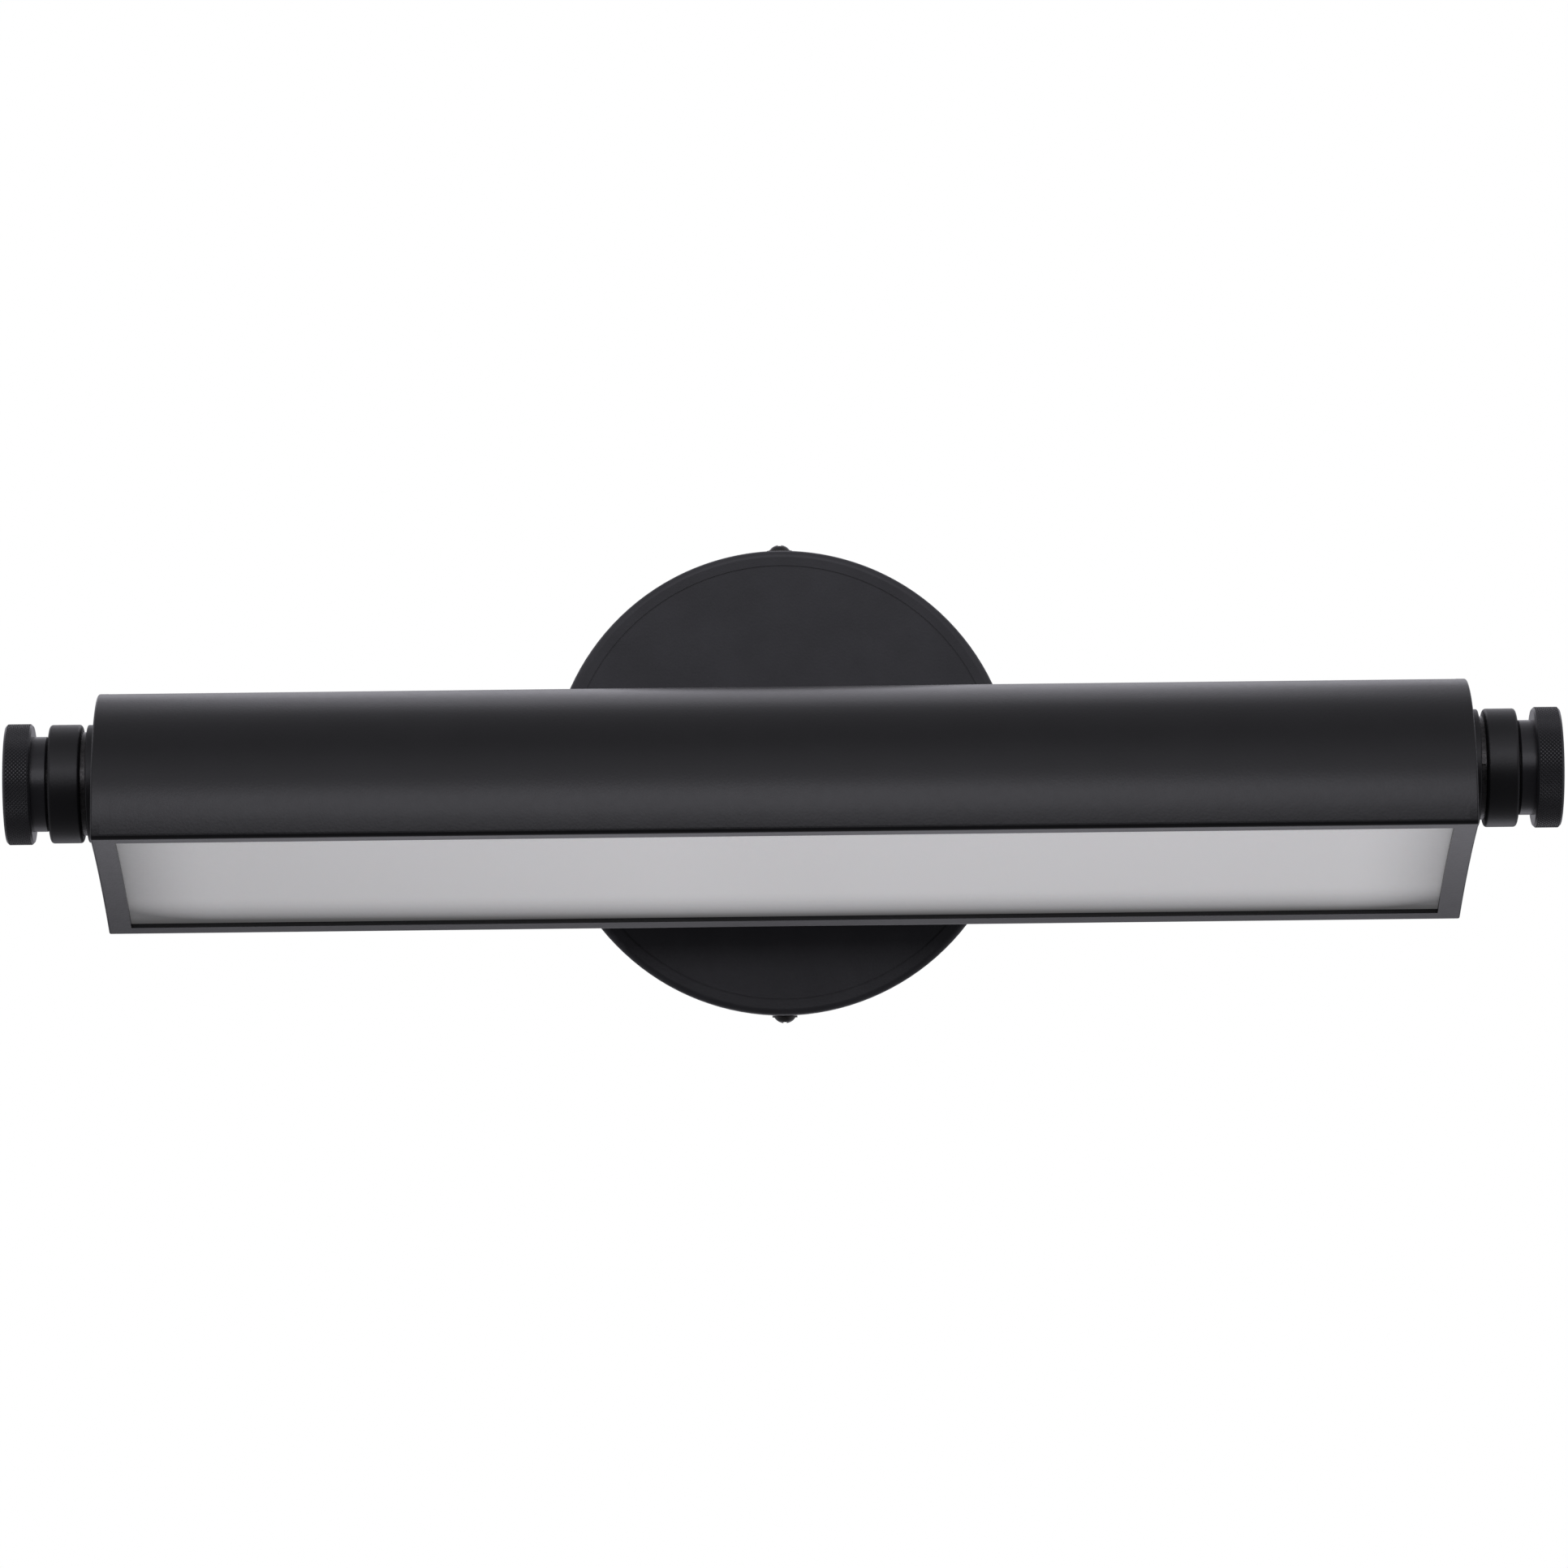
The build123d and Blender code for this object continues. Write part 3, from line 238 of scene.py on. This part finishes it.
class Look:
    """One material, and short calls for the node patterns that it uses."""

    def __init__(self, name, colour, roughness, metal=0.0):
        self.material = bpy.data.materials.new(name)
        self.material.use_nodes = True
        self.material.diffuse_color = (*colour, 1)
        self.tree = self.material.node_tree
        self.surface = self.tree.nodes["Principled BSDF"]
        self.surface.inputs["Base Color"].default_value = (*colour, 1)
        self.surface.inputs["Roughness"].default_value = roughness
        self.surface.inputs["Metallic"].default_value = metal
        self.colour = colour
        self.roughness = roughness
        self.coords = self.tree.nodes.new("ShaderNodeTexCoord").outputs["Object"]

    def link(self, output, target):
        self.tree.links.new(output, target)

    def node(self, kind, **settings):
        made = self.tree.nodes.new("ShaderNode" + kind)
        for name, value in settings.items():
            setattr(made, name, value)
        return made

    def set(self, name, value):
        """Set one of the surface shader's own sockets."""
        self.surface.inputs[name].default_value = value

    def noise(self, per_metre, detail=3.0, stretch=(1, 1, 1)):
        """Noise with this many cells to the metre, drawn out along an axis by a low stretch."""
        place = self.node("Mapping")
        place.inputs["Scale"].default_value = stretch
        self.link(self.coords, place.inputs["Vector"])
        noise = self.node("TexNoise")
        noise.inputs["Scale"].default_value = per_metre
        noise.inputs["Detail"].default_value = detail
        self.link(place.outputs[0], noise.inputs["Vector"])
        return noise.outputs["Fac"]

    def cells(self, per_metre):
        """Small rounded cells, as in a powder coat or cast surface."""
        cells = self.node("TexVoronoi", feature="SMOOTH_F1")
        cells.inputs["Scale"].default_value = per_metre
        self.link(self.coords, cells.inputs["Vector"])
        return cells.outputs["Distance"]

    def mapped(self, value, low, high, from_low=0.0, from_high=1.0):
        """Value moved from one range to another, and kept inside it."""
        spread = self.node("MapRange")
        spread.inputs["From Min"].default_value = from_low
        spread.inputs["From Max"].default_value = from_high
        spread.inputs["To Min"].default_value = low
        spread.inputs["To Max"].default_value = high
        self.link(value, spread.inputs["Value"])
        return spread.outputs["Result"]

    def maths(self, operation, first, second):
        made = self.node("Math", operation=operation)
        for socket, value in zip(made.inputs, (first, second)):
            if isinstance(value, (int, float)):
                socket.default_value = value
            else:
                self.link(value, socket)
        return made.outputs[0]

    def edges(self, radius):
        """One along sharp edges, nought on open faces."""
        rounded = self.node("Bevel", samples=6)
        rounded.inputs["Radius"].default_value = radius
        geometry = self.node("NewGeometry")
        compare = self.node("VectorMath", operation="DOT_PRODUCT")
        self.link(rounded.outputs[0], compare.inputs[0])
        self.link(geometry.outputs["Normal"], compare.inputs[1])
        return self.mapped(compare.outputs["Value"], 1, 0, 0.86, 0.995)

    def mix_colour(self, factor, colour):
        """Blend the colour reached so far towards another one."""
        mix = self.node("Mix", data_type="RGBA")
        self.link(factor, mix.inputs["Factor"])
        base = self.surface.inputs["Base Color"]
        if base.links:
            self.link(base.links[0].from_socket, mix.inputs["A"])
        else:
            mix.inputs["A"].default_value = base.default_value[:]
        mix.inputs["B"].default_value = (*colour, 1)
        self.link(mix.outputs["Result"], base)

    def vary_colour(self, pattern, amount):
        """Lighten the colour by up to this share where the pattern is high."""
        self.mix_colour(self.mapped(pattern, 0, 1, 0.35, 0.7),
                        [min(1, part * (1 + amount)) for part in self.colour])

    def vary_roughness(self, pattern, amount):
        low, high = self.roughness - amount, self.roughness + amount
        self.link(self.mapped(pattern, low, high, 0.3, 0.7), self.surface.inputs["Roughness"])

    def emboss(self, pattern, depth):
        """Add a bump of this depth on top of those already there."""
        bump = self.node("Bump")
        bump.inputs["Strength"].default_value = 1.0
        bump.inputs["Distance"].default_value = depth
        self.link(pattern, bump.inputs["Height"])
        normal = self.surface.inputs["Normal"]
        if normal.links:
            self.link(normal.links[0].from_socket, bump.inputs["Normal"])
        self.link(bump.outputs[0], normal)


def satin_black(name="satin_black", roughness=0.30, grey=0.006):
    """Fine satin powder coat."""
    look = Look(name, (grey, grey, 1.1 * grey), roughness)
    look.vary_colour(look.noise(90), 0.3)
    look.mix_colour(look.mapped(look.edges(0.15 * MM), 0, 0.25), (0.03, 0.03, 0.033))
    look.vary_roughness(look.noise(400), 0.012)
    look.emboss(look.cells(1500), 0.012 * MM)
    look.emboss(look.noise(5000), 0.004 * MM)
    return look.material


def black_screw():
    """Black oxide on machine screws."""
    look = Look("black_screw", (0.03, 0.029, 0.028), 0.3, metal=0.5)
    look.vary_colour(look.noise(900), 1.2)
    look.mix_colour(look.mapped(look.edges(0.2 * MM), 0, 0.5), (0.16, 0.15, 0.14))
    look.vary_roughness(look.noise(2000), 0.08)
    look.emboss(look.noise(3500), 0.012 * MM)
    return look.material


def zinc_steel():
    """Bright zinc plate with fine rolling marks."""
    look = Look("zinc_steel", (0.60, 0.60, 0.58), 0.3, metal=1.0)
    look.vary_colour(look.noise(120), 0.12)
    look.mix_colour(look.mapped(look.edges(0.3 * MM), 0, 0.5), (0.75, 0.75, 0.74))
    look.vary_roughness(look.noise(400, stretch=(0.08, 1, 1)), 0.09)
    look.emboss(look.noise(3000, stretch=(0.04, 1, 1)), 0.006 * MM)
    return look.material


def green_screw():
    """Green-dyed plating on the earthing screw."""
    look = Look("green_screw", (0.03, 0.20, 0.07), 0.3, metal=0.7)
    look.vary_colour(look.noise(700), 0.5)
    look.mix_colour(look.mapped(look.edges(0.2 * MM), 0, 0.4), (0.25, 0.38, 0.26))
    look.vary_roughness(look.noise(1500), 0.07)
    look.emboss(look.noise(3500), 0.01 * MM)
    return look.material


def bronze_bush():
    """Sintered bearing bronze, with its pores."""
    look = Look("bronze_bush", (0.42, 0.25, 0.11), 0.42, metal=1.0)
    look.vary_colour(look.noise(500), 0.3)
    look.vary_roughness(look.noise(1200), 0.08)
    look.emboss(look.cells(4000), 0.015 * MM)
    return look.material


def bare_aluminium():
    """Mill-finish aluminium with extrusion lines along its length."""
    look = Look("bare_aluminium", (0.72, 0.72, 0.73), 0.36, metal=1.0)
    look.vary_colour(look.noise(60), 0.08)
    look.vary_roughness(look.noise(900, stretch=(0.02, 1, 1)), 0.09)
    look.emboss(look.noise(2500, stretch=(0.01, 1, 1)), 0.008 * MM)
    return look.material


def moulded(name, colour, roughness, grain):
    """Moulded plastic: faint mottling and a fine spark-eroded grain."""
    look = Look(name, colour, roughness)
    look.vary_colour(look.noise(150), 0.12)
    look.mix_colour(look.mapped(look.edges(0.3 * MM), 0, 0.3), [min(1, c * 1.3 + 0.02) for c in colour])
    look.vary_roughness(look.noise(600), 0.06)
    look.emboss(look.cells(grain), 0.015 * MM)
    return look


def driver_white():
    return moulded("driver_white", (0.72, 0.72, 0.70), 0.45, 1800).material


def terminal_plastic():
    return moulded("terminal_plastic", (0.66, 0.68, 0.66), 0.35, 2600).material


def foam_black():
    """Soft black foam and rubber."""
    look = moulded("foam_black", (0.02, 0.02, 0.021), 0.8, 1500)
    look.emboss(look.noise(1800, detail=5), 0.05 * MM)
    return look.material


def insulated_wire(name, colour):
    """Soft wire insulation, a little dusty and glossy."""
    look = moulded(name, colour, 0.4, 2500)
    look.set("Coat Weight", 0.15)
    look.set("Coat Roughness", 0.3)
    return look.material


def wire_brown():
    return insulated_wire("wire_brown", (0.16, 0.075, 0.035))


def lead_grey():
    return insulated_wire("lead_grey", (0.14, 0.14, 0.145))


def frosted_acrylic():
    """Opal acrylic with a painted glow for the light falling on it, and painted shade: greyer and dimmer at its
    rear edge and ends, and weaker to the left.
    """
    look = Look("frosted_acrylic", (0.80, 0.805, 0.78), 0.42)
    low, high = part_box("diffuser")
    tilt = radians(FACE_TILT)
    forward = Vector((0, -cos(tilt), sin(tilt)))
    half_width = (high.y - low.y) / 2 / cos(tilt)
    place = look.node("VectorMath", operation="DOT_PRODUCT")
    look.link(look.coords, place.inputs[0])
    place.inputs[1].default_value = forward
    rear_edge = SWIVEL_AXIS.dot(forward) - half_width
    from_rear = look.maths("SUBTRACT", place.outputs["Value"], rear_edge)
    split = look.node("SeparateXYZ")
    look.link(look.coords, split.inputs[0])
    from_end = look.maths("SUBTRACT", high.x, look.maths("ABSOLUTE", split.outputs["X"], 0))
    # Painted shade: the face is greyed and its glow dimmed near its rear edge and ends, and towards its left end,
    # where the light falls off
    rear_painted_shade = look.mapped(from_rear, 1, 0, PAINTED_SHADE_START, PAINTED_REAR_SHADE_END)
    end_painted_shade = look.mapped(from_end, PAINTED_END_SHADE, 0, PAINTED_SHADE_START, PAINTED_END_SHADE_END)
    left_painted_shade = look.mapped(split.outputs["X"], PAINTED_LEFT_SHADE, 0, PAINTED_LEFT_SHADE_TO, PAINTED_LEFT_SHADE_FROM)
    edge_painted_shade = look.maths("ADD", look.maths("POWER", rear_painted_shade, 2), look.maths("POWER", end_painted_shade, 2))
    painted_shade = look.maths("ADD", edge_painted_shade, left_painted_shade)
    look.mix_colour(painted_shade, PAINTED_SHADE_COLOUR)
    # Painted light: the glow stands in for the studio light falling on the face; the lamp itself is unlit
    painted_glow = look.mapped(painted_shade, PAINTED_FACE_GLOW, GLOW_SHARE_IN_PAINTED_SHADE * PAINTED_FACE_GLOW)
    look.link(painted_glow, look.surface.inputs["Emission Strength"])
    look.set("Emission Color", (1.0, 0.99, 1.0, 1))
    look.vary_roughness(look.noise(800), 0.05)
    look.emboss(look.noise(6000), 0.004 * MM)
    look.set("Subsurface Weight", 0.15)
    look.set("Subsurface Scale", 1.5 * MM)
    look.set("IOR", 1.49)
    return look.material


def board_white():
    """White solder mask and reflector paint."""
    look = moulded("board_white", (0.80, 0.80, 0.78), 0.35, 2200)
    look.vary_roughness(look.noise(300), 0.1)
    return look.material


def led_phosphor():
    """Yellow phosphor gel in the LED packages."""
    look = Look("led_phosphor", (0.82, 0.60, 0.12), 0.35)
    look.vary_colour(look.noise(2500), 0.3)
    look.emboss(look.noise(4000), 0.02 * MM)
    look.set("Subsurface Weight", 0.2)
    look.set("Subsurface Scale", 0.3 * MM)
    return look.material


MAKERS = (satin_black, black_screw, zinc_steel, green_screw, bronze_bush, bare_aluminium,
          driver_white, terminal_plastic, foam_black, wire_brown, lead_grey,
          frosted_acrylic, board_white, led_phosphor)


# Black parts with another coat than the head's: roughness, grey level, parts
OTHER_COATS = (
    (0.45, 0.036, ("canopy", "back_bar")),
    (0.40, 0.006, ("left_arm", "right_arm", "left_collar", "right_collar",
                   "left_trunnion", "right_trunnion")),
    (0.30, 0.020, ("left_knob", "right_knob")),
)


def paint_parts(materials):
    """Give every CAD node the material of its slot in the record."""
    for part in frame["record"]["subparts"]:
        mesh = frame["nodes"][part["node"]].data
        mesh.materials.clear()
        mesh.materials.append(materials[part["material_slot"]])
    for roughness, grey, parts in OTHER_COATS:
        coat = satin_black("satin_black_on_" + parts[0], roughness, grey)
        for part in parts:
            frame["nodes"][part].data.materials[0] = coat


# ---------------------------------------------------------------- knurled knobs

def triangle_wave(turns):
    """Nought at whole turns and one halfway between them."""
    return 1 - abs(2 * (turns % 1) - 1)


def knurl_height(around, along):
    """Height of the flat-topped pyramids between two crossing sets of grooves, 0 to 1."""
    pyramid = min(triangle_wave(around + along), triangle_wave(around - along))
    return min(pyramid / KNURL_TRUNCATION, 1)


def knob_rings(outer_radius, neck_length):
    """Distance from the knob's inner end and radius of each ring; None where it is knurled."""
    rings = [(BORE_DEPTH, 0.0), (BORE_DEPTH, BORE_RADIUS), (0.0, BORE_RADIUS),
             (0.0, NECK_RADIUS - NECK_CHAMFER), (NECK_CHAMFER, NECK_RADIUS),
             (neck_length, NECK_RADIUS)]
    steps = KNOB_ROWS * STEPS_PER_DIAMOND
    for step in range(steps + 1):
        rings.append((neck_length + KNOB_LENGTH * step / steps, None))
    end = neck_length + KNOB_LENGTH
    face = outer_radius - KNOB_FACE_RIM
    rings += [(end, face), (end - KNOB_FACE_RECESS, face), (end - KNOB_FACE_RECESS, 0.0)]
    return rings


def ring_radius(distance, turn, outer_radius, neck_length):
    """Radius on the knurled band, where the chamfers cut across the knurl."""
    from_start = distance - neck_length
    from_end = KNOB_LENGTH - from_start
    chamfered = outer_radius - max(0, KNOB_CHAMFER - min(from_start, from_end))
    around = turn * KNOB_DIAMONDS
    along = from_start / KNOB_LENGTH * KNOB_ROWS
    knurled = outer_radius - KNURL_DEPTH * (1 - knurl_height(around, along))
    return min(chamfered, knurled)


def make_knob(body, side):
    """Turned knob with a diamond knurl cut into its rim."""
    low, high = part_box(body)
    inner_end = low.x if side > 0 else high.x
    outer_radius = (high.z - low.z) / 2
    neck_length = (high.x - low.x) - KNOB_LENGTH
    around = KNOB_DIAMONDS * STEPS_PER_DIAMOND
    shape = bmesh.new()
    rows = []
    for distance, radius in knob_rings(outer_radius, neck_length):
        x = inner_end + side * distance
        if radius == 0.0:
            rows.append([shape.verts.new((x, SWIVEL_AXIS.y, SWIVEL_AXIS.z))] * around)
            continue
        row = []
        for step in range(around):
            turn = step / around
            r = radius or ring_radius(distance, turn, outer_radius, neck_length)
            angle = 2 * pi * turn
            row.append(shape.verts.new((x, SWIVEL_AXIS.y + r * cos(angle),
                                        SWIVEL_AXIS.z + r * sin(angle))))
        rows.append(row)
    for first, second in zip(rows, rows[1:]):
        for step in range(around):
            add_facets(shape, first[step - 1], first[step], second[step], second[step - 1])
    bmesh.ops.recalc_face_normals(shape, faces=shape.faces)
    mesh = bpy.data.meshes.new(body + "_knurled")
    shape.to_mesh(mesh)
    shape.free()
    mesh.shade_smooth()
    mesh.set_sharp_from_angle(angle=radians(SHARP_EDGE_ANGLE))
    mesh.materials.append(frame["nodes"][body].data.materials[0])
    knob = bpy.data.objects.new(body + "_knurled", mesh)
    bpy.context.scene.collection.objects.link(knob)
    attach(knob, body)
    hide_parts(body)


def off_axis(vert):
    return hypot(vert.co.y - SWIVEL_AXIS.y, vert.co.z - SWIVEL_AXIS.z)


def add_facets(shape, a, b, c, d):
    """Two triangles, split along the lower diagonal so that the grooves stay crisp."""
    if a is b:
        shape.faces.new((a, c, d))
    elif c is d:
        shape.faces.new((a, b, c))
    elif off_axis(a) + off_axis(c) < off_axis(b) + off_axis(d):
        shape.faces.new((a, b, c))
        shape.faces.new((a, c, d))
    else:
        shape.faces.new((a, b, d))
        shape.faces.new((b, c, d))


# ---------------------------------------------------------------- the scene

bpy.context.scene.view_settings.view_transform = "Standard"
make_camera()
make_world()
make_lights()
make_floor()

paint_parts({maker.__name__: maker() for maker in MAKERS})
make_knob("left_knob", -1)
make_knob("right_knob", 1)
